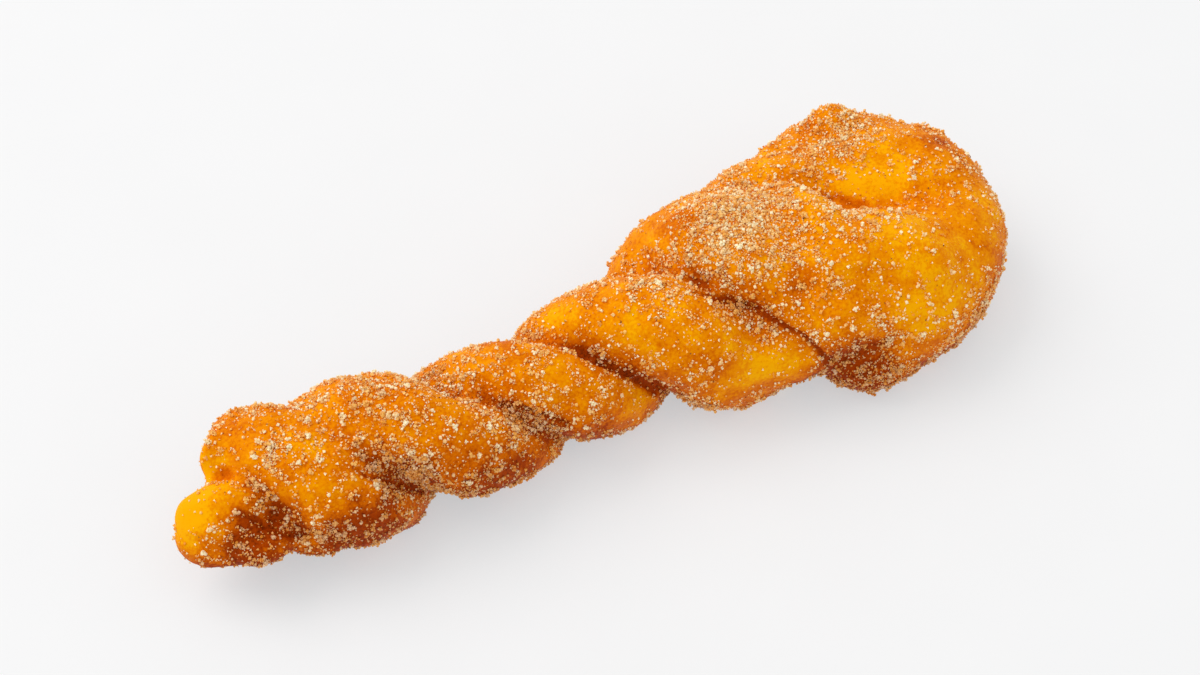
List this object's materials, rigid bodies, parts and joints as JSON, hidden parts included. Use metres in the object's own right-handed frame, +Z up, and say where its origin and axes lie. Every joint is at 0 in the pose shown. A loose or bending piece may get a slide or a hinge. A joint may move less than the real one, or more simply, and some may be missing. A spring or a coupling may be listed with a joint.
{
  "type": "twist doughnut",
  "caption": "Twist of fried yeast dough: a rope folded in half at a broad loop and wound round itself down to its pinched ends.",
  "frame": {"origin": "middle of the doughnut's outline, on the surface it lies on", "axes": "+X along the twist from the pinched ends to the loop, +Y across it, +Z up"},
  "size_m": [0.1796, 0.0603, 0.0344],
  "materials": {
    "fried_crust": "golden fried crust under a coat of sugar"
  },
  "bodies": {
    "root": {"twist_doughnut": "fried_crust"}
  },
  "joints": []
}
